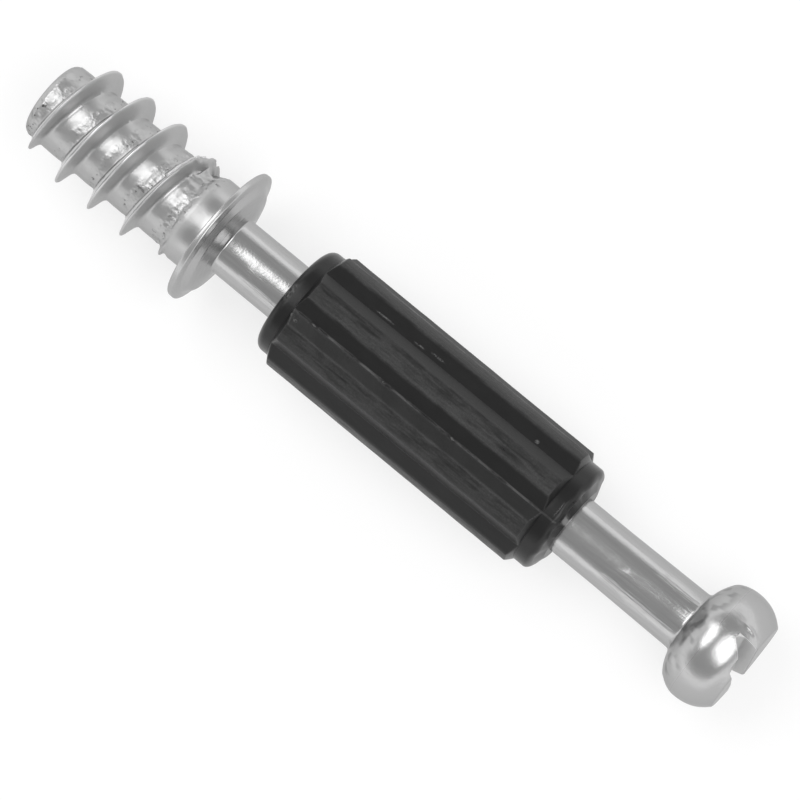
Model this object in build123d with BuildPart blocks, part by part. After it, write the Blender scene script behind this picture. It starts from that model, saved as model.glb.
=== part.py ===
"""Cam dowel: a cold-headed steel bolt with a ribbed plastic sleeve moulded on its shaft.

The dowel's axis lies along X. The origin is on the axis, in the flat seat face of the
flange that stops against the side panel. The coarse thread is at -X, the shaft, the sleeve
and the slotted ball head that the cam grips are at +X. Z is up and all lengths are in
millimetres.
"""
import os
from math import atan2, cos, degrees, radians, sin

from build123d import *

# Lengths along the axis, both measured from the seat face
thread_length = 11.0
drilling_distance = 34.0

# Threaded end
core_tip_diameter = 4.24
core_root_diameter = 4.44
tip_rounding = 0.32
thread_diameter = 6.26
thread_pitch = 2.13
crest_width = 0.16
ridge_base_width = 0.90
ridge_root_depth = 0.30
first_full_crest = 1.85
last_full_crest = 3.86
first_crest_angle = 90.0
start_crest_diameter = 3.90
lead_in_length = 1.75
run_out_diameter = 5.42
run_out_length = 2.13
sink_depth = 0.45
sink_length = 0.80

# Wear: the last turn of the thread is knocked flat on one side, with a burr next to it
worn_angle = 68.0
worn_flat_height = 2.60
worn_start = 3.50
worn_length = 1.20
burr_angle = 80.0
burr_start = 2.12
burr_diameter = 5.30
burr_sink = 0.60
burr_half_length = 0.27

# Collar and flange
collar_diameter = 5.0
collar_length = 1.1
collar_cone_length = 0.5
flange_diameter = 7.75
flange_rim = 0.22
flange_rim_rounding = 0.07
flange_thickness = 1.12
flange_bulge = 0.14
flange_fillet = 0.22

# Shaft
shaft_diameter = 3.22
neck_diameter = 3.33
neck_taper_length = 5.0

# Ball head
head_diameter = 6.52
head_length = 3.5
widest_from_end = 1.8
back_step_length = 0.18
back_step_diameter = 4.40
back_length = 0.5
back_diameter = 5.5
neck_fillet = 0.15
end_face_diameter = 5.0
end_face_rounding = 0.12

# Screwdriver slot, and the shallow bite that a slipped punch took out of its -Y lobe
slot_mouth_width = 1.00
slot_waist_width = 0.54
slot_waist_depth = 0.85
slot_floor_width = 0.16
slot_depth = 1.14
slot_angle = 15.8
bite_depth = 0.44
bite_side = 0.83
bite_angle = 5.0
bite_flare = 29.0

# Plastic sleeve
sleeve_start = 5.03
sleeve_length = 17.9
sleeve_diameter = 6.14
sleeve_end_rounding = 0.45
sleeve_fit = 0.0
rib_count = 8
rib_tip_diameter = 6.98
rib_valley_diameter = 6.20
rib_tip_arc = 16.0
rib_angle = 15.5
rib_inset = 0.90
rib_end_slope = 0.30

# Outer corners are rounded in this many straight facets, which keep a coarse mesh light
corner_facets = 3

# Radii and places that follow from them
thread_radius = thread_diameter / 2
shaft_radius = shaft_diameter / 2
slot_half_mouth = slot_mouth_width / 2
slot_half_waist = slot_waist_width / 2
slot_half_floor = slot_floor_width / 2
head_radius = head_diameter / 2
tip_x = -thread_length
neck_x = drilling_distance - head_length
widest_x = drilling_distance - widest_from_end
thread_start_x = tip_x + first_full_crest
thread_end_x = -last_full_crest


def around(radius, angle):
    """A point of the YZ plane, with its angle counted from +Z towards +Y."""
    return (radius * sin(radians(angle)), radius * cos(radians(angle)))


def crest_angle(x):
    """The angle round the axis at which the thread's crest passes x."""
    return first_crest_angle + 360 * (x - thread_start_x) / thread_pitch


def faceted_corner(end_x, radius, rounding, inwards):
    """Points from an end face round its outer corner to the side, for inwards 1 or -1 along X."""
    points = []
    for facet in range(corner_facets + 1):
        turn = radians(90 * facet / corner_facets)
        from_end = rounding * (1 - cos(turn))
        below_side = rounding * (1 - sin(turn))
        points.append((end_x + inwards * from_end, radius - below_side))
    return points


def tangent_arc_mid(start, widest):
    """The middle of the arc from start to widest that is parallel to the axis at widest."""
    run = widest[0] - start[0]
    rise = widest[1] - start[1]
    radius = (run**2 + rise**2) / (2 * rise)
    turn = atan2(run, radius - rise) / 2
    return (widest[0] - radius * sin(turn), widest[1] - radius * (1 - cos(turn)))


def ridge_stretch(start_radius, end_radius, length):
    """A stretch of left-hand thread ridge that climbs +Z from +X as its crest radius changes."""
    slope = atan2(end_radius - start_radius, length)
    ridge_height = thread_radius - core_tip_diameter / 2
    flank_slope = (ridge_base_width - crest_width) / 2 / ridge_height
    depth = ridge_height + ridge_root_depth
    half_crest = crest_width / 2
    half_root = half_crest + depth * flank_slope
    with BuildPart() as stretch:
        with BuildLine() as path:
            Helix(
                pitch=thread_pitch / cos(slope),
                height=length,
                radius=start_radius,
                cone_angle=degrees(slope),
                lefthand=True,
            )
        with BuildSketch(Plane.XZ):
            with BuildLine():
                Polyline(
                    (start_radius, -half_crest),
                    (start_radius, half_crest),
                    (start_radius - depth, half_root),
                    (start_radius - depth, -half_root),
                    close=True,
                )
            make_face()
        sweep(path=path.line, is_frenet=True)
    return stretch.part


def stretch_place(x, angle, heading):
    """Where a stretch starts: its own Z runs along the axis and its X meets the crest."""
    side, up = around(1, angle)
    return Plane(origin=(x, 0, 0), x_dir=(0, side, up), z_dir=(heading, 0, 0)).location


# The thread ridge: it rises at the tip, keeps its height, runs out and sinks into the collar
run_out_end_x = thread_end_x + run_out_length
run_out_radius = run_out_diameter / 2
with BuildPart() as thread_ridge:
    with Locations(stretch_place(thread_start_x, crest_angle(thread_start_x), -1)):
        add(ridge_stretch(thread_radius, start_crest_diameter / 2, lead_in_length))
    with Locations(stretch_place(thread_start_x, crest_angle(thread_start_x), 1)):
        add(ridge_stretch(thread_radius, thread_radius, thread_end_x - thread_start_x))
    with Locations(stretch_place(thread_end_x, crest_angle(thread_end_x), 1)):
        add(ridge_stretch(thread_radius, run_out_radius, run_out_length))
    with Locations(stretch_place(run_out_end_x, crest_angle(run_out_end_x), 1)):
        add(ridge_stretch(run_out_radius, run_out_radius - sink_depth, sink_length))
    split(bisect_by=Plane.YZ.offset(tip_x), keep=Keep.TOP)

    # The flat that a knock left on the last turn, and the metal it pushed aside
    worn_side, worn_up = around(1, worn_angle)
    worn_plane = Plane(
        origin=(-worn_start, worn_flat_height * worn_side, worn_flat_height * worn_up),
        x_dir=(1, 0, 0),
        z_dir=(0, worn_side, worn_up),
    )
    with BuildSketch(worn_plane):
        Rectangle(worn_length, thread_diameter, align=(Align.MIN, Align.CENTER))
    extrude(amount=thread_radius, mode=Mode.SUBTRACT)
    burr_radius = burr_diameter / 2
    for heading in (-1, 1):
        with Locations(stretch_place(-burr_start, burr_angle, heading)):
            add(ridge_stretch(burr_radius, burr_radius - burr_sink, burr_half_length))

# The bolt: a turned profile, then its thread and its slot
with BuildPart() as steel_bolt:
    with BuildSketch(Plane.XY) as bolt_profile:
        with BuildLine():
            neck_corner = (neck_x, neck_diameter / 2)
            back_corner = (neck_x + back_length, back_diameter / 2)
            widest = (widest_x, head_radius)
            end_corner = (drilling_distance, end_face_diameter / 2)
            Polyline(
                (tip_x, 0),
                *faceted_corner(tip_x, core_tip_diameter / 2, tip_rounding, 1),
                (-collar_length - collar_cone_length, core_root_diameter / 2),
                (-collar_length, collar_diameter / 2),
                (0, collar_diameter / 2),
                (0, flange_diameter / 2),
                (flange_rim, flange_diameter / 2),
            )
            SagittaArc(
                (flange_rim, flange_diameter / 2),
                (flange_thickness, shaft_radius),
                -flange_bulge,
            )
            Polyline(
                (flange_thickness, shaft_radius),
                (neck_x - neck_taper_length, shaft_radius),
                neck_corner,
                (neck_x + back_step_length, back_step_diameter / 2),
                back_corner,
            )
            ThreePointArc(back_corner, tangent_arc_mid(back_corner, widest), widest)
            ThreePointArc(widest, tangent_arc_mid(end_corner, widest), end_corner)
            Polyline(end_corner, (drilling_distance, 0), (tip_x, 0))
        make_face()
        corners = bolt_profile.vertices()
        fillet(corners.group_by(Axis.X)[-1].sort_by(Axis.Y)[-1], end_face_rounding)
        fillet(corners.group_by(Axis.Y)[-1], flange_rim_rounding)
        fillet(corners.sort_by_distance((flange_thickness, shaft_radius))[0], flange_fillet)
        fillet(corners.sort_by_distance(neck_corner)[0], neck_fillet)
    revolve(axis=Axis.X)
    add(thread_ridge.part)

    slot_side, slot_up = around(1, slot_angle)
    slot_plane = Plane(
        origin=(drilling_distance, 0, 0),
        x_dir=(1, 0, 0),
        z_dir=(0, slot_side, slot_up),
    )
    with BuildSketch(slot_plane):
        with BuildLine():
            Polyline(
                (0, -slot_half_mouth),
                (0, slot_half_mouth),
                (-slot_waist_depth, slot_half_waist),
                (-slot_depth, slot_half_floor),
                (-slot_depth, -slot_half_floor),
                (-slot_waist_depth, -slot_half_waist),
                close=True,
            )
        make_face()
    extrude(amount=head_diameter, both=True, mode=Mode.SUBTRACT)

    # The bite lies between the slot's middle and a line that is turned less than the slot
    far_side, far_up = around(-head_radius, bite_angle)
    near_side, near_up = around(head_radius, bite_angle)
    with BuildSketch(Plane.YZ.offset(drilling_distance - bite_depth)):
        with BuildLine():
            Polyline(
                around(-head_radius, slot_angle),
                around(head_radius, slot_angle),
                (near_side - bite_side, near_up),
                (far_side - bite_side, far_up),
                close=True,
            )
        make_face()
    extrude(amount=bite_depth, taper=-bite_flare, mode=Mode.SUBTRACT)
steel_bolt.part.label = "steel_bolt"

# The sleeve: eight straight ribs on a tube that grips the shaft
rib_start = sleeve_start + rib_inset
rib_length = sleeve_length - 2 * rib_inset
with BuildPart() as sleeve:
    with BuildSketch(Plane.YZ.offset(rib_start)):
        with BuildLine():
            step = 360 / rib_count
            for rib in range(rib_count):
                middle = rib_angle + rib * step
                valley = around(rib_valley_diameter / 2, middle - step / 2)
                tip_start = around(rib_tip_diameter / 2, middle - rib_tip_arc / 2)
                tip_middle = around(rib_tip_diameter / 2, middle)
                tip_end = around(rib_tip_diameter / 2, middle + rib_tip_arc / 2)
                next_valley = around(rib_valley_diameter / 2, middle + step / 2)
                Line(valley, tip_start)
                ThreePointArc(tip_start, tip_middle, tip_end)
                Line(tip_end, next_valley)
        make_face()
    extrude(amount=rib_length)
    with BuildSketch(Plane.XY):
        with BuildLine():
            Polyline(
                (rib_start, 0),
                (rib_start, rib_valley_diameter / 2),
                (rib_start + rib_end_slope, rib_tip_diameter / 2),
                (rib_start + rib_length - rib_end_slope, rib_tip_diameter / 2),
                (rib_start + rib_length, rib_valley_diameter / 2),
                (rib_start + rib_length, 0),
                close=True,
            )
        make_face()
    revolve(axis=Axis.X, mode=Mode.INTERSECT)
    sleeve_end = sleeve_start + sleeve_length
    start_corner = faceted_corner(sleeve_start, sleeve_diameter / 2, sleeve_end_rounding, 1)
    far_corner = faceted_corner(sleeve_end, sleeve_diameter / 2, sleeve_end_rounding, -1)
    with BuildSketch(Plane.XY):
        with BuildLine():
            Polyline(
                (sleeve_start, 0),
                *start_corner,
                *reversed(far_corner),
                (sleeve_end, 0),
                close=True,
            )
        make_face()
    revolve(axis=Axis.X)
    with BuildSketch(Plane.YZ.offset(sleeve_start)):
        Circle(shaft_radius + sleeve_fit)
    extrude(amount=sleeve_length, mode=Mode.SUBTRACT)
sleeve.part.label = "sleeve"

os.makedirs("parts", exist_ok=True)
export_step(steel_bolt.part, "parts/steel_bolt.step")
export_step(sleeve.part, "parts/sleeve.step")
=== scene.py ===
# %% [markdown]
# A cam dowel is the steel bolt that joins two panels of flat-pack furniture. Its coarse
# thread goes into one panel, its ribbed plastic sleeve sits in the edge of the other, and a
# cam grips its ball head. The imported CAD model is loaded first, because every piece made
# here has to lie exactly where the CAD solid lies.

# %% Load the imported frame
from math import acos, atan2, cos, degrees, exp, hypot, pi, radians, sin, sqrt, tan

import bmesh
import bpy
from mathutils import Matrix, Vector, noise


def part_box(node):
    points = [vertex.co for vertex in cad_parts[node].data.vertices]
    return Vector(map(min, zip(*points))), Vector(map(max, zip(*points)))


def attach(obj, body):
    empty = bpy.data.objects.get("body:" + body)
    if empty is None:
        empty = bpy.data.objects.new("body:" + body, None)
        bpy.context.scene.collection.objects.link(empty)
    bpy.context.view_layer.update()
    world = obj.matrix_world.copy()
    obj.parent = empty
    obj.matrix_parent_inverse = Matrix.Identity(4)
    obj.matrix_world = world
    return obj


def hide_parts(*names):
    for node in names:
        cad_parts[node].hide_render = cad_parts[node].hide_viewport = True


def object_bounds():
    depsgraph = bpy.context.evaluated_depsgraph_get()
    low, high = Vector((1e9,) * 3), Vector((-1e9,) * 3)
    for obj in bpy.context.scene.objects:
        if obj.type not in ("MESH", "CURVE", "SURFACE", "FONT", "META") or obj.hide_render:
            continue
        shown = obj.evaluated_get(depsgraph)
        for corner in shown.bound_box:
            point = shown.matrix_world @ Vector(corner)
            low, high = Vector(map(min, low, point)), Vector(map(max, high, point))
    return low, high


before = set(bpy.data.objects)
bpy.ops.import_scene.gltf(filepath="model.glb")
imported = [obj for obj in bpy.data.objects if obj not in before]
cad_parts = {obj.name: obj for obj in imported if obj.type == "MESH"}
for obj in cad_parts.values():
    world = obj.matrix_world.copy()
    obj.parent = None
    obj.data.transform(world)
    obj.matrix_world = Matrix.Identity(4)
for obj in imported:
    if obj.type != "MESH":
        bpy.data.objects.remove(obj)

MM = 0.001
cad_low, cad_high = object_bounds()


def in_mm(metres):
    return [round(v / MM, 2) for v in metres]


print("CAD box in mm:", in_mm((*cad_low, *cad_high)))

# %% [markdown]
# The photograph looks down on the dowel from the side. A camera can be placed by eye, but
# here its numbers were worked out from the picture: how long the lens is, how far away it
# stands, how much the head end leans towards it, how far the dowel is turned in the frame,
# and the point that it aims at. The dowel itself never moves, so the camera takes all of
# that on.

# %% Camera, in pixels and millimetres
picture_width = 800
focal_pixels = 4540
camera_distance = 224.8
head_lean = radians(8.43)
frame_turn = radians(39.45)
reference_x = 11.76
pixels_per_mm = focal_pixels / camera_distance
aim_along = 13.4 / pixels_per_mm
aim_across = -12.25 / pixels_per_mm


def make_camera():
    """A long lens over the dowel, turned so that the thread is at the upper left."""
    towards = Vector((sin(head_lean), 0, cos(head_lean)))
    place = Vector((reference_x, 0, 0)) + towards * camera_distance
    aim = Vector((reference_x + aim_along, aim_across, 0))
    back = (place - aim).normalized()
    along = (Vector((1, 0, 0)) - back * back.x).normalized()
    across = back.cross(along)
    right = along * cos(frame_turn) + across * sin(frame_turn)
    up = across * cos(frame_turn) - along * sin(frame_turn)
    data = bpy.data.cameras.new("camera")
    data.lens = data.sensor_width * focal_pixels / picture_width
    data.clip_start = 1 * MM
    camera = bpy.data.objects.new("camera", data)
    turn = Matrix((right, up, back)).transposed().to_4x4()
    camera.matrix_world = Matrix.Translation(place * MM) @ turn
    bpy.context.scene.collection.objects.link(camera)
    bpy.context.scene.camera = camera
    return camera


camera = make_camera()
print("camera lens", round(camera.data.lens, 1), "mm, at", in_mm(camera.location))

# %% [markdown]
# Shader nodes can be wired by hand, but sums of masks soon fill the screen. This small class
# stands for one output of a node. Adding or multiplying two of them adds the Math node, so
# the recipes further down read like ordinary arithmetic.


# %% A wire of a shader
class Wire:
    """The output of a shader node, on which Python's arithmetic adds Math nodes."""

    def __init__(self, tree, socket=None):
        self.tree = tree
        self.socket = socket

    def node(self, kind, inputs=None, output=0, **settings):
        """Any node: its type, what goes into its sockets, the output wanted, its settings."""
        made = self.tree.nodes.new("ShaderNode" + kind)
        for name, value in settings.items():
            setattr(made, name, value)
        for name, value in (inputs or {}).items():
            if isinstance(value, Wire):
                self.tree.links.new(value.socket, made.inputs[name])
            else:
                made.inputs[name].default_value = value
        return Wire(self.tree, made.outputs[output])

    def maths(self, operation, first, second):
        return self.node("Math", {0: first, 1: second}, operation=operation)

    def __add__(self, other):
        return self.maths("ADD", self, other)

    def __sub__(self, other):
        return self.maths("SUBTRACT", self, other)

    def __rsub__(self, other):
        return self.maths("SUBTRACT", other, self)

    def __mul__(self, other):
        return self.maths("MULTIPLY", self, other)

    __radd__ = __add__
    __rmul__ = __mul__


def plug(wire, shader, name):
    wire.tree.links.new(wire.socket, shader.inputs[name])


def part_of(place, axis):
    """The X, the Y or the Z of a place."""
    return place.node("SeparateXYZ", {0: place}, output=axis)


def fade(value, low, high):
    """0 at low and 1 at high, with soft ends. The two may be the other way round."""
    return value.node(
        "MapRange",
        {"Value": value, "From Min": low, "From Max": high},
        interpolation_type="SMOOTHSTEP",
    )


# %% [markdown]
# The room. Bright metal is mostly a picture of what is around it, so the room matters as
# much as the metal. The photograph's highlights sit on both sides of the lens, with a dark
# gap where the lens is: two soft boxes over the dowel, one towards each end, give that. The
# ceiling is grey, and it gets paler towards the horizon, where the white table begins.

# %% Soft boxes
dowel_middle = Vector((11.5, 0, 0))
box_distance = 500
box_radiance = 2.7


def soft_box(name, lean_along, lean_across, width, length):
    """An oval area lamp that looks at the dowel, leaning from the vertical by two angles."""
    away = Vector((tan(radians(lean_along)), tan(radians(lean_across)), 1)).normalized()
    data = bpy.data.lights.new(name, "AREA")
    data.shape = "ELLIPSE"
    data.size = width * MM
    data.size_y = length * MM
    # A flat lamp gives off pi times its radiance from each part of its area.
    data.energy = box_radiance * pi * (pi / 4) * data.size * data.size_y
    lamp = bpy.data.objects.new(name, data)
    side = Vector((0, 1, 0)).cross(away).normalized()
    turn = Matrix((side, away.cross(side), away)).transposed().to_4x4()
    lamp.matrix_world = Matrix.Translation((dowel_middle + away * box_distance) * MM) @ turn
    lamp.visible_camera = False
    bpy.context.scene.collection.objects.link(lamp)
    return lamp


thread_box = soft_box("soft_box_thread_side", -31, 4, 380, 440)
head_box = soft_box("soft_box_head_side", 31, 3, 380, 460)
print("soft boxes at", in_mm(thread_box.location), "and", in_mm(head_box.location))

# %% The room's walls and ceiling
ceiling_grey = 0.52
horizon_grey = 1.45
horizon_ends = 0.22
ceiling_starts = 0.48
world = bpy.data.worlds.new("room")
world.use_nodes = True
bpy.context.scene.world = world
room = Wire(world.node_tree)
height = part_of(room.node("TexCoord", output="Generated"), "Z")
walls = fade(height, horizon_ends, ceiling_starts)
grey = horizon_grey + (ceiling_grey - horizon_grey) * walls
plug(grey, world.node_tree.nodes["Background"], "Color")

# %% [markdown]
# The table is a pale sheet under the dowel. It leans by about one degree, because the dowel
# lies on the flange's rim and on its ball head, which is a little slimmer. It is plain
# white paint with a little light of its own for what looks straight at it, so it shows as
# white and still takes the dowel's shadow.

# %% Table
flange_radius = cad_high.y / MM
rim_middle_x = 0.11
head_widest_x = 32.2
head_radius = 3.26
table_half_size = 600
paint_grey = 0.24
paint_glow = 0.72


def new_material(name):
    """A material with a Principled shader, and a wire to start from."""
    material = bpy.data.materials.new(name)
    material.use_nodes = True
    tree = material.node_tree
    return material, tree.nodes["Principled BSDF"], Wire(tree)


def make_table():
    """A sheet that touches the flange's rim and the head."""
    bm = bmesh.new()
    bmesh.ops.create_grid(bm, x_segments=1, y_segments=1, size=table_half_size * MM)
    lean = atan2(flange_radius - head_radius, head_widest_x - rim_middle_x)
    bmesh.ops.rotate(bm, verts=bm.verts, cent=(0, 0, 0), matrix=Matrix.Rotation(-lean, 3, "Y"))
    bmesh.ops.translate(bm, verts=bm.verts, vec=(rim_middle_x * MM, 0, -flange_radius * MM))
    mesh = bpy.data.meshes.new("table")
    bm.to_mesh(mesh)
    bm.free()
    table = bpy.data.objects.new("table", mesh)
    bpy.context.scene.collection.objects.link(table)
    print("the table leans by", round(degrees(lean), 2), "degrees")
    return table


table = make_table()
paint, paint_shader, wire = new_material("table_paint")
looks = [
    wire.node("LightPath", output=name)
    for name in ("Is Camera Ray", "Is Glossy Ray", "Is Transmission Ray")
]
seen = wire.maths("MINIMUM", looks[0] + looks[1] + looks[2], 1.0)
glow = seen * paint_glow
plug(wire.node("CombineColor", {0: glow, 1: glow, 2: glow}), paint_shader, "Emission Color")
paint_shader.inputs["Emission Strength"].default_value = 1.0
paint_shader.inputs["Base Color"].default_value = (paint_grey, paint_grey, paint_grey, 1)
paint_shader.inputs["Roughness"].default_value = 1.0
paint_shader.inputs["Specular IOR Level"].default_value = 0.0
table.data.materials.append(paint)

# %% [markdown]
# The bolt is cold-headed and thread-rolled from one piece of wire, so it is modelled as one
# skin. The threaded end could be a plain core with a separate ridge wound round it, but a
# rolled thread has soft roots that run into the core. So a line along the core is spun
# round the axis and shifted by one pitch a turn. Its rows then follow the helix, and each
# vertex only has to be moved out to the thread's height.

# %% Sizes of the threaded end, in millimetres
tip_x = cad_low.x / MM
tip_rounding = 0.32
core_tip_radius = 2.12
core_root_radius = 2.22
core_bulge = 0.045
bulge_fades = (-2.1, -1.7)
collar_radius = 2.5
collar_x = -1.15
collar_cone_x = -1.90
thread_pitch = 2.13
crest_at_side_x = -9.15
crest_path = [
    (-10.9, 2.08),
    (-10.2, 2.70),
    (-9.6, 3.02),
    (-9.15, 3.17),
    (-3.86, 3.17),
    (-1.73, 2.73),
    (-1.35, 2.2),
]
half_crest = 0.05
crest_blend = 0.13
crest_wander = 0.13
wander_angle = 45
flank_steepness = 2.73
flank_steepness_behind = 3.2
root_blend = 0.30
root_blend_ahead = 0.38
blend_changes = (-0.1, 0.1)


def between(value, points):
    """Straight-line interpolation through (place, value) points."""
    if value <= points[0][0]:
        return points[0][1]
    for (x0, y0), (x1, y1) in zip(points, points[1:]):
        if value <= x1:
            return y0 + (y1 - y0) * (value - x0) / (x1 - x0)
    return points[-1][1]


def smooth_max(a, b, width):
    """The larger of two values, with a soft change where they are within that width."""
    return max(a, b) + max(width - abs(a - b), 0) ** 2 / (4 * width)


def smooth_min(a, b, width):
    return -smooth_max(-a, -b, width)


def ease(value, low, high):
    """0 at low, 1 at high, with a soft start and end."""
    t = min(max((value - low) / (high - low), 0), 1)
    return t * t * (3 - 2 * t)


def core_radius(x):
    """The core grows slowly from the tip, and then by a soft cone into the collar."""
    root = between(x, [(tip_x, core_tip_radius), (collar_cone_x, core_root_radius)])
    return root + (collar_radius - core_root_radius) * ease(x, collar_cone_x, collar_x)


def ridge_radius(x, crest_x, top):
    """A ridge of that height whose crest is at crest_x, cut at x."""
    steepness = flank_steepness if x > crest_x else flank_steepness_behind
    flank = top - steepness * (abs(x - crest_x) - half_crest)
    return smooth_min(top, flank, crest_blend)


def crest_shift(angle):
    """The rolled crest wanders a little towards the head on the side that faces the lens."""
    return crest_wander * (0.5 + 0.5 * cos(radians(angle - wander_angle)))


# %% [markdown]
# The last turn of the real thread took a knock: its crest is flat on one side, and the
# metal that was pushed over stands beside it as a burr. Both are laid over the clean thread
# here, with lumps of their own so that they don't look machined. The rolled surface itself
# gets faint dents everywhere, and the metal before the collar is crumpled. A noise is given
# by its number of lumps in a millimetre and a seed. A window is four places along the axis:
# where a mark begins, is whole, starts to fade and is gone.

# %% The worn place
crest_dents = 0.04
crest_noise = (1.6, 71)
worn_angle = 76
worn_half_arc = 60
worn_height = 2.62
worn_from_x = -3.6
worn_to_x = -2.3
pushed_over = 0.25
pushed_softness = 0.05
worn_softness = 0.12
burr_angle = 80
burr_x = -2.10
burr_top = 2.64
burr_drop = 0.6
burr_half_arc = 45
burr_blend = 0.15
dent_depth = 0.012
dent_noise = (2.6, 3)
smear_height = 0.10
smear_noise = (2.2, 11)
fine_smear_noise = (4.5, 17)
smear_arc = (35, 65)
smear_window = (-3.9, -3.5, -1.9, -1.6)
crumple_height = 0.06
crumple_noise = (3.2, 23)
fine_crumple_noise = (7.0, 29)
crumple_window = (-2.5, -2.0, -1.6, -1.2)
plain_collar = (0.95, 1.3)
noise_turn = Matrix.Rotation(0.7, 3, Vector((1, 2, 3)))


def lumps(x, angle, scale, seed):
    """Noise from about -1 to 1 over the bolt, turned so that its grid isn't along the axis."""
    turn = radians(angle)
    place = Vector((x, core_root_radius * cos(turn), core_root_radius * sin(turn)))
    place = place * scale + Vector((seed, 0, 0))
    return noise.noise(noise_turn @ place, noise_basis="PERLIN_NEW")


def two_lumps(x, angle, height, coarse, fine):
    """Lumps of two sizes, the fine ones half as high."""
    return height * lumps(x, angle, *coarse) + height / 2 * lumps(x, angle, *fine)


def turned_away(angle, middle_angle):
    """The angle from middle_angle to angle, between -180 and 180 degrees."""
    return (angle - middle_angle + 180) % 360 - 180


def window(x, begins, whole, fades, gone):
    return ease(x, begins, whole) * (1 - ease(x, fades, gone))


def worn_ridge(x, crest_x, ridge, angle):
    """The ridge where its crest was knocked flat and pushed over towards the tip."""
    off = turned_away(angle, worn_angle)
    if abs(off) >= worn_half_arc or not worn_from_x < x < worn_to_x:
        return ridge
    beside = ridge_radius(x, crest_x - pushed_over, worn_height)
    ridge = smooth_max(ridge, beside, pushed_softness)
    return smooth_min(ridge, worn_height / cos(radians(off)), worn_softness)


def burr_radius(x, angle):
    """The metal that stands beside the worn turn, highest in its middle."""
    off = turned_away(angle, burr_angle)
    burr_here = burr_x + thread_pitch * off / 360
    return ridge_radius(x, burr_here, burr_top - burr_drop * (off / burr_half_arc) ** 2)


def rough_marks(x, angle):
    """Dents, smeared metal and crumpled metal, in millimetres. The collar has none."""
    dents = dent_depth * lumps(x, angle, *dent_noise)
    smeared = 1 - ease(abs(turned_away(angle, worn_angle)), *smear_arc)
    smeared = smeared * window(x, *smear_window)
    smear = two_lumps(x, angle, smear_height, smear_noise, fine_smear_noise)
    crumples = two_lumps(x, angle, crumple_height, crumple_noise, fine_crumple_noise)
    marks = dents + smeared * smear + window(x, *crumple_window) * crumples
    return ease(-x, *plain_collar) * marks


def thread_radius(x, angle):
    """The threaded end's radius at x, and at an angle from +Z towards +Y in degrees."""
    turns = (x - crest_shift(angle) - crest_at_side_x) / thread_pitch - (angle - 90) / 360
    crest_x = x - (turns - round(turns)) * thread_pitch
    bulge = core_bulge * sin(pi * (turns % 1)) * (1 - ease(x, *bulge_fades))
    top = between(crest_x, crest_path) - crest_dents * abs(lumps(crest_x, angle, *crest_noise))
    ridge = worn_ridge(x, crest_x, ridge_radius(x, crest_x, top), angle)
    blend = root_blend + (root_blend_ahead - root_blend) * ease(x - crest_x, *blend_changes)
    radius = smooth_max(core_radius(x) + bulge, ridge, blend)
    radius = smooth_max(radius, burr_radius(x, angle), burr_blend)
    return radius + rough_marks(x, angle)


# %% The skin of the threaded end
turn_steps = 216
crest_count = 8
first_crest_x = crest_at_side_x - thread_pitch / 4 - 3 * thread_pitch
fine_rows = [0.03, 0.06, 0.09, 0.12, 0.16, 0.21, 0.26, 0.31]
wide_rows = [0.36, 0.42, 0.50, 0.60, 0.71, 0.82, 0.95]
rows_ahead = fine_rows + wide_rows
rows = [-v for v in reversed(rows_ahead)] + [0] + rows_ahead
cut_at_collar = -0.95
same_place = 0.001
same_plane = 1e-5


def angle_of(co):
    return degrees(atan2(co.y, co.z))


def set_radius(vert, radius):
    """Moves a vertex straight out from the axis, or in, to that radius."""
    scale = radius / hypot(vert.co.y, vert.co.z)
    vert.co.y *= scale
    vert.co.z *= scale


def cut_off(bm, cut_x, outwards):
    """Removes what lies beyond a plane square to the axis."""
    bmesh.ops.bisect_plane(
        bm,
        geom=bm.verts[:] + bm.edges[:] + bm.faces[:],
        dist=same_plane,
        plane_co=(cut_x, 0, 0),
        plane_no=(outwards, 0, 0),
        clear_outer=True,
    )


def thread_skin():
    """The threaded end between the tip's rounding and the collar, open at both ends."""
    bm = bmesh.new()
    crests = [first_crest_x + turn * thread_pitch for turn in range(crest_count)]
    places = [crest + row for crest in crests for row in rows]
    line = [bm.verts.new((x, 0, core_tip_radius)) for x in places]
    edges = [bm.edges.new(pair) for pair in zip(line, line[1:])]
    bmesh.ops.spin(
        bm,
        geom=line + edges,
        cent=(0, 0, 0),
        axis=(1, 0, 0),
        dvec=(thread_pitch / turn_steps, 0, 0),
        angle=-2 * pi,
        steps=turn_steps,
        use_merge=False,
    )
    bmesh.ops.remove_doubles(bm, verts=bm.verts, dist=same_place)
    cut_off(bm, tip_x + tip_rounding, -1)
    cut_off(bm, cut_at_collar, 1)
    for vert in bm.verts:
        set_radius(vert, thread_radius(vert.co.x, angle_of(vert.co)))
    return bm


bm = thread_skin()
print("threaded end:", len(bm.faces), "faces,", sum(e.is_boundary for e in bm.edges), "rim edges")

# %% [markdown]
# The rest of the bolt was pressed in dies and is round: collar, flange, shaft and ball head.
# It could be spun as a second piece, but then the two skins would only lie against each
# other. So the rim that the cut left open is extruded from ring to ring along the bolt's
# outline, which keeps it one skin from the tip to the head.


# %% Outlines with rounded corners
def arc(start, end, bulge, steps):
    """Points after start and up to end, on an arc that bulges outwards by that much."""
    start, end = Vector(start), Vector(end)
    chord = end - start
    half_turn = 2 * atan2(2 * bulge, chord.length)
    radius = chord.length / (2 * sin(half_turn))
    outwards = Vector((-chord.y, chord.x)).normalized()
    centre = (start + end) / 2 - outwards * radius * cos(half_turn)
    spoke = start - centre
    points = []
    for step in range(1, steps + 1):
        turn = Matrix.Rotation(-2 * half_turn * step / steps, 2)
        points.append(tuple(centre + turn @ spoke))
    return points


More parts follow.
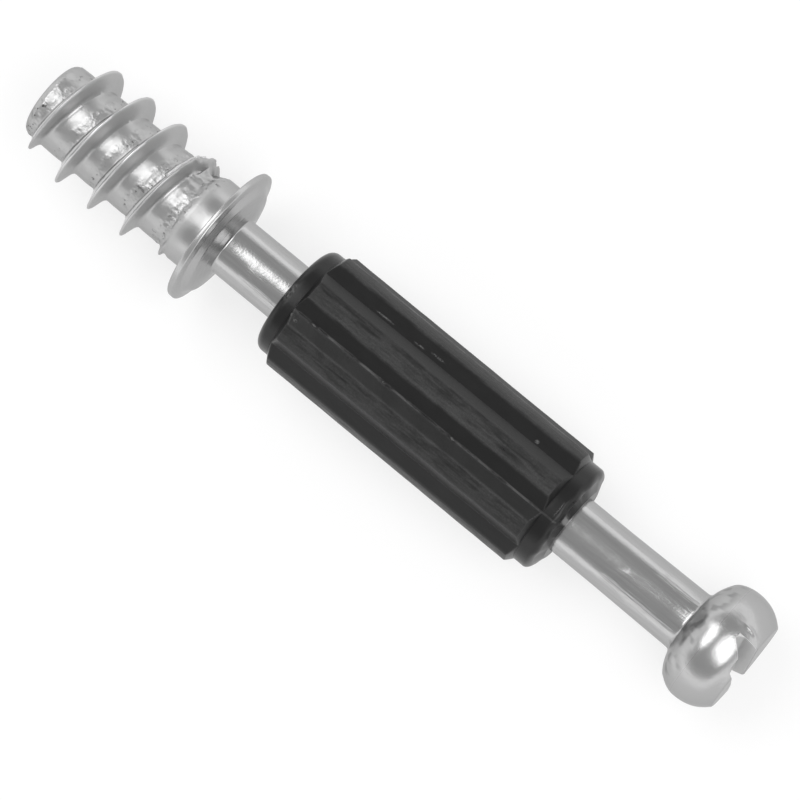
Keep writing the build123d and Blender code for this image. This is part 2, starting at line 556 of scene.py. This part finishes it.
def rounded(before, corner, after, radius, steps=4):
    """The corner between two neighbours, as points on an arc of that radius."""
    to_before = (Vector(before) - Vector(corner)).normalized()
    to_after = (Vector(after) - Vector(corner)).normalized()
    half = acos(max(min(to_before.dot(to_after), 1), -1)) / 2
    start = Vector(corner) + to_before * radius / tan(half)
    end = Vector(corner) + to_after * radius / tan(half)
    side = to_before.x * to_after.y - to_before.y * to_after.x
    bulge = radius * (1 - sin(half)) * (1 if side > 0 else -1)
    return [tuple(start)] + arc(start, end, bulge, steps)


def tangent_bulge(start, widest):
    """How far an arc bulges that runs from start and is parallel to the axis at widest."""
    run, rise = abs(widest[0] - start[0]), widest[1] - start[1]
    radius = (run**2 + rise**2) / (2 * rise)
    half_chord = hypot(run, rise) / 2
    return radius - sqrt(radius**2 - half_chord**2)


# %% Outline of the flange
collar_middle_x = -0.5
seat_fillet = 0.06
seat_rounding = 0.08
rim_front_x = 0.29
rim_rounding = 0.09
lip_foot = (0.37, 3.40)
ring_top = (0.66, 3.02)
ring_rounding = 0.15
cone_share = 0.75
cone_rows = 30
line_radii = (2.88, 2.20)
line_height = 0.007
line_width = 0.05
shaft_start_x = 1.00
shaft_radius = 1.61
flange_fillet = 0.12


def bump(distance, half_width):
    """1 in the middle of a rounded bump, falling to almost nothing at twice its half width."""
    return exp(-((distance / half_width) ** 2))


def die_line(x, radius):
    """Two fine rings that the die left on the flange's front."""
    rings = sum(bump(radius - line, line_width) for line in line_radii)
    return x + line_height * rings, radius


def flange_front(rim_out, shaft_start):
    """Points down the flange's front: a flat lip, a sloping ring, then a flat cone."""
    points = rounded(rim_out, lip_foot, ring_top, ring_rounding)
    points += rounded(lip_foot, ring_top, shaft_start, ring_rounding, steps=8)
    start = Vector(points[-1])
    slope = (Vector(shaft_start) - start) * cone_share
    points += [tuple(start + slope * row / cone_rows) for row in range(1, cone_rows + 1)]
    return [die_line(*point) for point in points]


def flange_outline(shaft_point):
    """(x, radius) from the collar round the flange and down to the shaft."""
    seat_in = (0, collar_radius)
    seat_out = (0, flange_radius)
    rim_out = (rim_front_x, flange_radius)
    shaft_start = (shaft_start_x, shaft_radius)
    outline = [(collar_middle_x, collar_radius)]
    outline += rounded((cut_at_collar, collar_radius), seat_in, seat_out, seat_fillet)
    outline += [(0, (collar_radius + flange_radius) / 2)]
    outline += rounded(seat_in, seat_out, rim_out, seat_rounding)
    outline += rounded(seat_out, rim_out, lip_foot, rim_rounding, steps=6)
    outline += flange_front(rim_out, shaft_start)
    return outline + rounded(ring_top, shaft_start, shaft_point, flange_fillet, steps=6)


# %% Outline of the shaft and the head
shaft_row_xs = [2 + 0.75 * row for row in range(31)]
neck_taper_x = 25.5
neck_row_xs = [26.5, 27.5, 28.5, 29.5]
neck_x = 30.5
neck_radius = 1.665
neck_fillet = 0.22
back_corner = (31.0, 2.75)
back_bulge = 0.07
end_x = cad_high.x / MM
end_face_radius = 2.5
end_rounding = 0.14
end_ring_radii = (2.0, 1.2, 0.5)


def shaft_outline():
    """(x, radius) along the plain shaft, and along the neck, which grows a little."""
    slope = (neck_radius - shaft_radius) / (neck_x - neck_taper_x)
    outline = [(x, shaft_radius) for x in shaft_row_xs + [neck_taper_x]]
    return outline + [(x, shaft_radius + slope * (x - neck_taper_x)) for x in neck_row_xs]


def head_outline(neck_point):
    """(x, radius) up the head's back, over the ball and across its flat end."""
    neck = (neck_x, neck_radius)
    widest = (head_widest_x, head_radius)
    end = (end_x, end_face_radius)
    back = arc(neck, back_corner, back_bulge, steps=7)
    back += arc(back_corner, widest, tangent_bulge(back_corner, widest), steps=14)
    front = arc(widest, end, tangent_bulge(end, widest), steps=20)
    outline = rounded(neck_point, neck, back[0], neck_fillet) + back[1:] + front[:-1]
    outline += rounded(front[-2], end, (end_x, 0), end_rounding)
    return outline + [(end_x, radius) for radius in end_ring_radii]


shaft_part = shaft_outline()
bolt_outline = flange_outline(shaft_part[0]) + shaft_part + head_outline(shaft_part[-1])
print("bolt's outline:", len(bolt_outline), "points from the collar to the end face")

# %% Draw the rim along the outline
tip_steps = 6
tip_ring_radii = (1.4, 0.9, 0.4)
close_by = 0.01


def draw_on(bm, rim, x, radius):
    """Extrudes a ring of edges and sets the new ring to that place and radius."""
    made = bmesh.ops.extrude_edge_only(bm, edges=rim)["geom"]
    verts = {item for item in made if isinstance(item, bmesh.types.BMVert)}
    for vert in verts:
        vert.co.x = x
        set_radius(vert, radius)
    edges = [item for item in made if isinstance(item, bmesh.types.BMEdge)]
    return [edge for edge in edges if edge.verts[0] in verts and edge.verts[1] in verts]


def rim_near(bm, x):
    return [e for e in bm.edges if e.is_boundary and abs(e.verts[0].co.x - x) < close_by]


rim = rim_near(bm, cut_at_collar)
for x, radius in bolt_outline:
    rim = draw_on(bm, rim, x, radius)
bmesh.ops.edgeloop_fill(bm, edges=rim)
rim = rim_near(bm, tip_x + tip_rounding)
for step in range(1, tip_steps + 1):
    turn = radians(90 * step / tip_steps)
    x = tip_x + tip_rounding * (1 - sin(turn))
    rim = draw_on(bm, rim, x, core_tip_radius - tip_rounding * (1 - cos(turn)))
for radius in tip_ring_radii:
    rim = draw_on(bm, rim, tip_x, radius)
bmesh.ops.edgeloop_fill(bm, edges=rim)
bmesh.ops.recalc_face_normals(bm, faces=bm.faces)
print("bolt's skin:", len(bm.faces), "faces, closed:", all(e.is_manifold for e in bm.edges))

# %% [markdown]
# The head was upset in a die, and the metal gathered in shallow folds behind it. A smooth
# ball would mirror the two soft boxes as two neat ovals, which looks like a computer's work.
# So the head's vertices are moved a few hundredths of a millimetre: folds at the back, faint
# dents all over, and a raised lip beside the slot, where the punch pushed metal aside. The
# flange was pressed a little askew, so it is thicker on one side.

# %% Marks of the die and the punch
slot_angle = 15.8
fold_depth = 0.07
fold_waves = [(5, 2.0, 0.45), (8, -3.0, 0.35), (13, 4.0, 0.25)]
folds_begin = (30.52, 30.75)
folds_end = (31.0, 32.1)
creases = [(40, 0.07), (8, 0.06), (-13, 0.07), (-38, 0.10)]
crease_half_width = 6
crease_slant = 8
ball_dents = 0.04
ball_noise = (0.9, 31)
ball_window = (30.7, 31.1, 33.75, 33.9)
lip_height = 0.05
lip_side = 0.86
lip_half_width = 0.10
lip_window = (32.7, 33.0, 33.4, 33.7)
lobe_drop = 0.09
lobe_sides = (0.2, 0.5)
lobe_xs = (33.0, 33.9)
flange_foot_radius = 1.8
flange_swell = 0.07
swell_radii = (2.0, 3.2)
swell_xs = (0.02, 0.15)
rim_dents = 0.02
rim_noise = (1.5, 47)
rim_radii = (3.2, 3.6)


def folds_behind(x, angle):
    """Shallow folds and sharper creases on the head's back."""
    here = ease(x, *folds_begin) * (1 - ease(x, *folds_end)) ** 2
    turn = radians(angle)
    folds = sum(size * sin(count * turn + slant * x) for count, slant, size in fold_waves)
    slanted = angle + crease_slant * (x - back_corner[0])
    sharp = sum(
        depth * bump(turned_away(slanted, middle_angle), crease_half_width)
        for middle_angle, depth in creases
    )
    return here * (fold_depth * folds - sharp)


def lip_beside_slot(x, angle):
    """The lip on the +Y side of the slot's upper half."""
    off = turned_away(angle, slot_angle)
    if abs(off) > 90:
        return 0
    side = head_radius * sin(radians(off))
    return bump(side - lip_side, lip_half_width) * window(x, *lip_window) * lip_height


def head_marks(x, angle):
    """How far the head's surface stands out at a place, in millimetres."""
    dents = window(x, *ball_window) * ball_dents * lumps(x, angle, *ball_noise)
    return folds_behind(x, angle) + dents + lip_beside_slot(x, angle)


def drop_lobe(vert):
    """The lobe on the -Y side of the slot is a little lower than the other one."""
    slot_turn = radians(slot_angle)
    beside = vert.co.y * cos(slot_turn) - vert.co.z * sin(slot_turn)
    vert.co.x -= lobe_drop * ease(-beside, *lobe_sides) * ease(vert.co.x, *lobe_xs)


def flange_marks(vert, radius):
    """The flange is a little thicker on one side, and its rim isn't quite round."""
    side = max(-vert.co.y / radius, 0)
    vert.co.x += flange_swell * side * ease(radius, *swell_radii) * ease(vert.co.x, *swell_xs)
    dents = abs(lumps(vert.co.x, angle_of(vert.co), *rim_noise))
    set_radius(vert, radius - rim_dents * ease(radius, *rim_radii) * dents)


for vert in bm.verts:
    radius = hypot(vert.co.y, vert.co.z)
    if neck_x < vert.co.x < end_x - close_by:
        set_radius(vert, radius + head_marks(vert.co.x, angle_of(vert.co)))
    if vert.co.x > head_widest_x:
        drop_lobe(vert)
    if -close_by < vert.co.x < shaft_start_x and radius > flange_foot_radius:
        flange_marks(vert, radius)


# %% Turn a skin into a piece
def make_piece(bm, name, material, smooth_angle):
    """Scales a skin from millimetres to metres and makes an object of it."""
    bmesh.ops.scale(bm, vec=(MM, MM, MM), verts=bm.verts)
    mesh = bpy.data.meshes.new(name)
    bm.to_mesh(mesh)
    bm.free()
    mesh.materials.append(material)
    piece = bpy.data.objects.new(name, mesh)
    bpy.context.scene.collection.objects.link(piece)
    smooth(piece, smooth_angle)
    return piece


def smooth(piece, angle):
    """Shades smoothly over every edge that bends less than that angle."""
    mesh = piece.data
    mesh.polygons.foreach_set("use_smooth", [True] * len(mesh.polygons))
    mesh.set_sharp_from_angle(angle=radians(angle))


def stand_for(piece, node):
    """The piece moves with the dowel and is shown in place of a CAD node."""
    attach(piece, "root")
    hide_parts(node)


# %% [markdown]
# The screwdriver slot is struck into the end of the head. A Boolean takes a wedge away: it is
# wide at the mouth and narrow at the floor, as a punch has to be to come out again. It went in
# a little askew, so the near wall, on the -Y side, slants more than the far one. The punch
# also slipped once and bit a shallow step out of the lobe on that side, so there is a second,
# tapered tool for that.

# %% Slot, as (depth, how far to the side) down each wall
slot_depth = 1.14
slot_far_wall = [(0.0, 0.41), (0.07, 0.35), (0.85, 0.30), (1.06, 0.17), (slot_depth, 0.03)]
slot_near_wall = [(0.0, 0.80), (0.36, 0.70), (1.0, 0.17), (slot_depth, 0.03)]
bite_depth = 0.44
bite_side = 0.83
bite_angle = 5.0
bite_flare = 29.0
bite_rounding = 0.12
tool_reach = 4.0
tool_rise = 1.0
bolt_smooth_angle = 38
tool_smooth_angle = 30


def pull_out(bm, verts, move):
    """A solid from a face through those vertices. Gives back the vertices that moved."""
    face = bm.faces.new(verts)
    moved = bmesh.ops.extrude_face_region(bm, geom=[face])["geom"]
    tops = [item for item in moved if isinstance(item, bmesh.types.BMVert)]
    bmesh.ops.translate(bm, vec=move, verts=tops)
    return tops


def slot_tool():
    """The punch, drawn from its outline right across the head."""
    bm = bmesh.new()
    outline = [(-depth, side) for depth, side in reversed(slot_far_wall)]
    outline += [(tool_rise, slot_far_wall[0][1]), (tool_rise, -slot_near_wall[0][1])]
    outline += [(-depth, -side) for depth, side in slot_near_wall]
    verts = [bm.verts.new((end_x + x, side, -tool_reach)) for x, side in outline]
    pull_out(bm, verts, (0, 0, 2 * tool_reach))
    turn = Matrix.Rotation(-radians(slot_angle), 3, "X")
    bmesh.ops.rotate(bm, verts=bm.verts, cent=(0, 0, 0), matrix=turn)
    bmesh.ops.recalc_face_normals(bm, faces=bm.faces)
    return bm


def bite_tool():
    """A block between the slot's middle and a line turned less, with one flared side."""
    bm = bmesh.new()
    slot_turn, bite_turn = radians(slot_angle), radians(bite_angle)
    corners = [
        (tool_reach * sin(slot_turn), tool_reach * cos(slot_turn)),
        (tool_reach * sin(bite_turn) - bite_side, tool_reach * cos(bite_turn)),
        (-tool_reach * sin(bite_turn) - bite_side, -tool_reach * cos(bite_turn)),
        (-tool_reach * sin(slot_turn), -tool_reach * cos(slot_turn)),
    ]
    verts = [bm.verts.new((end_x - bite_depth, y, z)) for y, z in corners]
    tops = pull_out(bm, verts, (tool_rise, 0, 0))
    outer = [Vector(corner) for corner in corners[1:3]]
    on_line = [
        vert
        for vert in bm.verts
        if any((Vector(vert.co.yz) - corner).length < same_place for corner in outer)
    ]
    flared = [vert for vert in on_line if vert in tops]
    flare = tool_rise * tan(radians(bite_flare))
    bmesh.ops.translate(bm, vec=(0, -flare, 0), verts=flared)
    sole = [e for e in bm.edges if all(v in on_line and v not in flared for v in e.verts)]
    bmesh.ops.bevel(
        bm,
        geom=sole,
        offset=bite_rounding,
        offset_type="OFFSET",
        segments=3,
        profile=0.5,
        affect="EDGES",
        material=-1,
    )
    bmesh.ops.recalc_face_normals(bm, faces=bm.faces)
    return bm


def cut_away(piece, tool):
    """Takes the tool's shape out of the piece, and removes the tool."""
    cut = piece.modifiers.new("cut", "BOOLEAN")
    cut.operation = "DIFFERENCE"
    cut.solver = "EXACT"
    cut.object = tool
    shaped = piece.evaluated_get(bpy.context.evaluated_depsgraph_get())
    cut_mesh = bpy.data.meshes.new_from_object(shaped)
    piece.modifiers.clear()
    piece.data = cut_mesh
    bpy.data.objects.remove(tool)


zinc, zinc_shader, zinc_wire = new_material("zinc_plate")
bolt = make_piece(bm, "threaded_bolt", zinc, bolt_smooth_angle)
cut_away(bolt, make_piece(slot_tool(), "tool", zinc, tool_smooth_angle))
cut_away(bolt, make_piece(bite_tool(), "tool", zinc, tool_smooth_angle))
smooth(bolt, bolt_smooth_angle)
stand_for(bolt, "steel_bolt")
print("bolt with its slot:", len(bolt.data.polygons), "faces")

# %% [markdown]
# Zinc plate is a thin bright skin over steel. Where the thread was rolled it is dimpled and
# patchy, on the drawn shaft it has fine lines along the axis, and the pressed flange and
# head are smooth. A finish can be painted on a picture that is wrapped round the shape, but
# here one material does all of it, with masks that read the place in millimetres.

# %% Masks from the place
far_wall_lean = 0.064
far_wall_mouth = 0.36
near_wall_lean = 0.828
near_wall_mouth = 1.0
slot_mask_edge = 0.02


def place_in_mm(wire):
    place = wire.node("TexCoord", output="Object")
    return wire.node("VectorMath", {0: place, 3: 1 / MM}, operation="SCALE")


def stretched(place, by):
    """A place with its X, Y and Z multiplied."""
    return place.node("VectorMath", {0: place, 1: by}, operation="MULTIPLY")


def length_of(place):
    return place.node("VectorMath", {0: place}, output="Value", operation="LENGTH")


def beside(place, angle):
    """How far a point is to the +Y side of a plane through the axis at that angle from +Z."""
    across = (0, cos(radians(angle)), -sin(radians(angle)))
    return place.node("VectorMath", {0: place, 1: across}, output="Value", operation="DOT_PRODUCT")


def zone(value, begins, whole, fades, gone):
    return fade(value, begins, whole) * fade(value, gone, fades)


def cloud(place, scale, detail, stretch=(1, 1, 1)):
    """Noise between 0 and 1, with that many lumps in a millimetre."""
    drawn = stretched(place, stretch)
    inputs = {"Vector": drawn, "Scale": scale, "Detail": detail, "Roughness": 0.6}
    return drawn.node("TexNoise", inputs)


def phase_of_thread(place):
    """0 just after a crest of the thread, and 1 at the next one towards the head."""
    turns = (part_of(place, "X") - crest_at_side_x) * (1 / thread_pitch) + 0.25
    angle = place.maths("ARCTAN2", part_of(place, "Y"), part_of(place, "Z"))
    turns = turns - angle * (0.5 / pi)
    return turns.maths("FRACT", turns, 0.0)


def inside_slot(place):
    """1 on the walls and the floor of the screwdriver slot."""
    side = beside(place, slot_angle)
    depth = end_x - part_of(place, "X")
    far_mouth = fade(side + depth * far_wall_lean, far_wall_mouth + slot_mask_edge, far_wall_mouth)
    near_edge = -near_wall_mouth - slot_mask_edge
    near_mouth = fade(side - depth * near_wall_lean, near_edge, -near_wall_mouth)
    floor = fade(depth, slot_depth + slot_mask_edge, slot_depth - slot_mask_edge)
    return far_mouth * near_mouth * floor


def plug_grey(tone, shader):
    plug(tone.node("CombineColor", {0: tone, 1: tone, 2: tone}), shader, "Base Color")


def plug_relief(height_mm, shader):
    """Bumps whose height is given in millimetres."""
    bumps = height_mm.node("Bump", {"Strength": 1.0, "Distance": MM, "Height": height_mm})
    plug(bumps, shader, "Normal")


# %% Zinc plate: masks by the distance along the axis and out from it, in millimetres
place = place_in_mm(zinc_wire)
along = part_of(place, "X")
from_axis = length_of(stretched(place, (0, 1, 1)))
threaded = fade(along, -0.6, -1.4)
on_tip = fade(along, -10.3, -10.7)
on_flank = threaded * fade(from_axis, 2.26, 2.55)
on_crest = threaded * fade(from_axis, 3.04, 3.16)
on_collar = zone(along, -1.9, -1.4, -0.1, 0.0)
on_flange = zone(along, -0.3, 0.0, 0.75, 1.1)
on_shaft = zone(along, 0.95, 1.2, 30.2, 31.0)
on_head = fade(along, 30.3, 30.8)
on_back = zone(along, 30.2, 30.6, 31.2, 31.9)
# The slot mask carries painted light: further down, the slot's walls and floor are painted paler
# and made rougher and less metallic, which lifts the shade in the recess.
in_slot = inside_slot(place)
from_crest = phase_of_thread(place)
rolled = zone(from_crest, 0.48, 0.66, 0.88, 0.98)
# Painted light: the flank on the tip side of each crest is painted paler and nearly matte, so that
# it doesn't show the dark line that its reflection gives.
painted_light_behind_crest = fade(along, -2.4, -2.8) * fade(from_crest, 0.80, 0.88)
painted_light_behind_crest = painted_light_behind_crest * fade(from_axis, 2.26, 2.4)

# %% Zinc plate: dimples, pits and drawn lines
patches = fade(cloud(place, 1.1, detail=2), 0.40, 0.58)
dimples = cloud(place, 2.8, detail=3)
grain = cloud(place, 9.0, detail=2)
waves = cloud(place, 1.2, detail=1)
drawn_lines = cloud(place, 7.0, detail=3, stretch=(0.06, 1, 1))
line_patches = fade(cloud(place, 0.5, detail=1, stretch=(0.6, 1, 1)), 0.44, 0.56)
line_patches = line_patches * fade(along, 2.3, 2.9)
# Painted shade: patches on the head's back, drawn out along the folds, are painted darker.
painted_fold_shade = on_back * fade(cloud(place, 1.5, detail=1, stretch=(0.35, 1, 1)), 0.52, 0.64)
mottle = 0.04 + 0.9 * rolled * (0.15 + patches) + 0.8 * on_tip * (0.2 + patches)
mottle = threaded * mottle
pits = mottle * fade(cloud(place, 4.0, detail=1), 0.62, 0.70)

# %% Zinc plate: relief in millimetres
dimple_depth = 0.055
pit_grain = 0.010
line_depth = 0.022
fine_grain = 0.004
wave_height = 0.008
head_dimples = 0.012
relief = mottle * (dimple_depth * dimples + pit_grain * grain)
relief = relief + on_shaft * line_patches * line_depth * drawn_lines
relief = relief + fine_grain * grain * (1 - 0.7 * on_flange)
relief = relief + wave_height * waves + on_head * head_dimples * dimples
plug_relief(relief, zinc_shader)

# %% Zinc plate: tone, roughness and how metallic it is, each changed by the masks
plate_tone = 0.43
plate_roughness = 0.19
# The flank behind each crest is painted paler, a painted light.
tone = plate_tone + 0.03 * on_flank + 0.25 * painted_light_behind_crest + 0.12 * on_crest
tone = tone + 0.10 * on_shaft * (drawn_lines - 0.5)
# Painted shade darkens the folds on the head's back, and painted light makes the slot paler.
tone = tone - 0.14 * painted_fold_shade - 0.22 * pits + 0.12 * in_slot
plug_grey(tone, zinc_shader)
roughness = plate_roughness + 0.16 * threaded + 0.04 * on_flank
roughness = roughness + 0.08 * on_head + 0.10 * on_back + 0.06 * on_flange + 0.10 * on_collar
roughness = roughness + 0.12 * pits - 0.10 * on_crest + 0.15 * in_slot
plug(roughness, zinc_shader, "Roughness")
# The painted light behind each crest is nearly matte as well.
metallic = 1.0 - 0.24 * on_flank - 0.75 * painted_light_behind_crest + 0.40 * on_crest
# Painted light in the slot: its walls and floor are less metallic, so that they show paler.
metallic = metallic - 0.15 * on_flange - 0.6 * in_slot
plug(metallic, zinc_shader, "Metallic")
zinc_shader.inputs["Specular Tint"].default_value = (0.72, 0.72, 0.72, 1)
print("zinc plate:", len(zinc.node_tree.nodes), "nodes")

# %% [markdown]
# The sleeve is moulded on the shaft. Its ribs could be cut with Booleans, but a moulded skin
# has soft corners everywhere. So a ring is drawn along the sleeve, and at each place its
# radius is the larger of the tube's and the ribs'. The mould's parting line, with three
# nibs, runs along one valley, and the end at the head side is a little worn.

# %% Sizes of the sleeve
sleeve_low, sleeve_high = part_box("sleeve")
sleeve_start = sleeve_low.x / MM
sleeve_end = sleeve_high.x / MM
tube_radius = 3.07
tube_rounding = 0.45
rib_step = 45
rib_angle = 15.5
rib_half_arc = 8.0
rib_top = 3.49
rib_valley = 3.10
rib_inset = 0.90
rib_inset_at_head = 1.17
rib_end_slope = 0.26
rib_softness = 0.035
rib_foot_softness = 0.02
climb_softness = 0.08
seam_angle = -8.0
seam_half_arc = 0.9
seam_height = 0.035
seam_noise = (1.4, 41)
seam_fades_over = 0.4
nibs = [(7.27, 0.09), (11.72, 0.04), (16.06, 0.07)]
nib_half_length = 0.10


def rib_outline(angle):
    """The ribbed part's radius at an angle in degrees: straight flanks between arcs."""
    off = abs((angle - rib_angle + rib_step / 2) % rib_step - rib_step / 2)
    valley_arc = radians(rib_step / 2 - rib_half_arc)
    t = radians(off - rib_half_arc)
    reach = rib_top * sin(t) + rib_valley * sin(valley_arc - t)
    flank = rib_top * rib_valley * sin(valley_arc) / reach
    return smooth_min(rib_top, flank, rib_softness)


def tube_profile(x):
    """The plain tube's radius, with its rounded ends."""
    from_end = min(x - sleeve_start, sleeve_end - x)
    if from_end >= tube_rounding:
        return tube_radius
    short = tube_rounding - max(from_end, 0)
    return tube_radius - tube_rounding + sqrt(max(tube_rounding**2 - short**2, 0))


def mould_seam(x, angle):
    """How far the parting line and its nibs stand out."""
    ridge = seam_height * (0.6 + 0.8 * lumps(x, 0, *seam_noise))
    ridge += sum(size * bump(x - nib_x, nib_half_length) for nib_x, size in nibs)
    return max(ridge, 0) * bump(turned_away(angle, seam_angle), seam_half_arc)


def sleeve_radius(x, angle):
    """The larger of the tube and the ribs, with the mould's seam along one valley."""
    tube = tube_profile(x)
    from_rib_end = min(x - sleeve_start - rib_inset, sleeve_end - x - rib_inset_at_head)
    if from_rib_end < 0:
        return tube
    climb = rib_valley + (rib_top - rib_valley) * min(from_rib_end / rib_end_slope, 1)
    ribs = smooth_min(rib_outline(angle), climb, climb_softness)
    seam = mould_seam(x, angle) * ease(from_rib_end, 0, seam_fades_over)
    return smooth_max(tube, ribs, rib_foot_softness) + seam


# %% Skin of the sleeve
ring_steps = 480
ring_turn = 0.5
face_ring_radius = 2.1
rounding_steps = [0.0, 0.01, 0.04, 0.09, 0.15, 0.22, 0.30, 0.38, 0.45]
climb_steps = [-0.15, -0.01, 0.0, 0.04, 0.08, 0.12, 0.16, 0.20, 0.24, 0.28, 0.34, 0.45, 0.6]
middle_stations = 60
swell = 0.012
swell_noise = (0.8, 61)
end_wear = 0.20
wear_length = 0.9
wear_change = 0.6
wear_noise = (1.3, 53)
sleeve_smooth_angle = 20


def sleeve_stations():
    """Where the rings stand: close together at the roundings and at the ribs' ends."""
    ribs_end = sleeve_end - rib_inset_at_head
    stations = [sleeve_start + v for v in rounding_steps]
    stations += [sleeve_start + rib_inset + v for v in climb_steps]
    start = stations[-1]
    inner_length = ribs_end - climb_steps[-1] - start
    stations += [start + inner_length * k / middle_stations for k in range(1, middle_stations)]
    stations += [ribs_end - v for v in reversed(climb_steps)]
    return stations + [sleeve_end - v for v in reversed(rounding_steps)]


def shape_vert(vert, x):
    """Moves a ring's vertex to the sleeve's surface, and back where the end is worn."""
    angle = angle_of(vert.co)
    set_radius(vert, sleeve_radius(x, angle) + swell * lumps(x, angle, *swell_noise))
    wear = end_wear * ease(x, sleeve_end - wear_length, sleeve_end)
    vert.co.x -= wear * (1 + wear_change * lumps(sleeve_end, angle, *wear_noise))


def sleeve_skin():
    """Draws a ring along the sleeve and back through the bore."""
    bm = bmesh.new()
    bmesh.ops.create_circle(bm, segments=ring_steps, radius=shaft_radius)
    for angle, axis in ((90, "Y"), (ring_turn, "X")):
        turn = Matrix.Rotation(radians(angle), 3, axis)
        bmesh.ops.rotate(bm, verts=bm.verts, cent=(0, 0, 0), matrix=turn)
    bmesh.ops.translate(bm, verts=bm.verts, vec=(sleeve_start, 0, 0))
    first = bm.edges[:]
    rim = draw_on(bm, first, sleeve_start, face_ring_radius)
    for x in sleeve_stations():
        rim = draw_on(bm, rim, x, tube_radius)
        for vert in {v for e in rim for v in e.verts}:
            shape_vert(vert, x)
    rim = draw_on(bm, rim, sleeve_end, face_ring_radius)
    rim = draw_on(bm, rim, sleeve_end, shaft_radius)
    bmesh.ops.bridge_loops(bm, edges=first + rim)
    bmesh.ops.recalc_face_normals(bm, faces=bm.faces)
    return bm


plastic, plastic_shader, plastic_wire = new_material("black_plastic")
bm = sleeve_skin()
print("sleeve's skin:", len(bm.faces), "faces, closed:", all(e.is_manifold for e in bm.edges))
sleeve = make_piece(bm, "ribbed_sleeve", plastic, sleeve_smooth_angle)
stand_for(sleeve, "sleeve")

# %% [markdown]
# The plastic is black and fairly glossy where nothing has touched it. The rib tops have been
# pushed through a drilled hole, so they are paler and duller, with streaks along the dowel.
# A few pale spots are where something scraped it, and two are painted highlights: one on the
# plain band at the thread-side end and a thin one along the rounded end at the head side.
# Each is given by its place along the axis, its angle, its length and its width.

# %% Black plastic
plastic_tone = 0.004
plastic_roughness = 0.24
# The first and the last spot are painted highlights; the others are scrapes and specks.
scrapes_and_highlights = [
    (5.25, 2, 0.5, 1.3),
    (6.05, -13, 0.5, 0.25),
    (6.4, -15, 0.3, 0.2),
    (7.27, -8, 0.35, 0.25),
    (11.72, -8, 0.3, 0.2),
    (16.06, -8, 0.35, 0.25),
    (9.6, 41, 1.4, 0.12),
    (11.8, 41, 0.8, 0.12),
    (12.9, 43, 1.0, 0.15),
    (19.3, 41, 0.3, 0.25),
    (22.3, 4, 0.1, 1.0),
]


def fleck(place, x, angle, length, width):
    """1 in the middle of a long spot on the sleeve, 0 outside it."""
    radius = sleeve_radius(x, angle)
    centre = (x, radius * sin(radians(angle)), radius * cos(radians(angle)))
    offset = place.node("VectorMath", {0: place, 1: centre}, operation="SUBTRACT")
    shrunk = stretched(offset, (2 / length, 2 / width, 2 / width))
    return fade(length_of(shrunk), 1.0, 0.4)


place = place_in_mm(plastic_wire)
on_top = fade(length_of(stretched(place, (0, 1, 1))), 3.38, 3.46)
streaks = cloud(place, 6.0, detail=4, stretch=(0.12, 1, 1))
scuffs = cloud(place, 1.6, detail=4, stretch=(0.5, 1, 1))
fine = cloud(place, 9.0, detail=3)
worn_top = on_top * fade(scuffs * 0.4 + streaks * 0.6, 0.30, 0.66)
seam_side = beside(place, seam_angle)
on_seam = fade(seam_side.maths("ABSOLUTE", seam_side, 0.0), 0.07, 0.03)
on_seam = on_seam * fade(part_of(place, "Z"), 2.9, 3.0)
on_seam = on_seam * fade(scuffs, 0.36, 0.60) * fade(part_of(place, "X"), 7.0, 7.2)
# The spots, two of them painted highlights, are paler, rougher and raised a little.
scraped_and_highlit = sum(fleck(place, *mark) for mark in scrapes_and_highlights) * fade(fine, 0.42, 0.58)
tone = plastic_tone + 0.040 * worn_top * fine + 0.004 * scuffs + 0.07 * scraped_and_highlit + 0.05 * on_seam
plug_grey(tone, plastic_shader)
roughness = plastic_roughness + 0.22 * worn_top + 0.12 * scuffs + 0.2 * scraped_and_highlit
plug(roughness, plastic_shader, "Roughness")
relief = 0.008 * scuffs + 0.005 * fine + worn_top * 0.012 * streaks + 0.02 * scraped_and_highlit
plug_relief(relief, plastic_shader)
plastic_shader.inputs["Specular IOR Level"].default_value = 0.35
print("black plastic:", len(plastic.node_tree.nodes), "nodes")

# %% Picture settings
bpy.context.scene.view_settings.view_transform = "Standard"
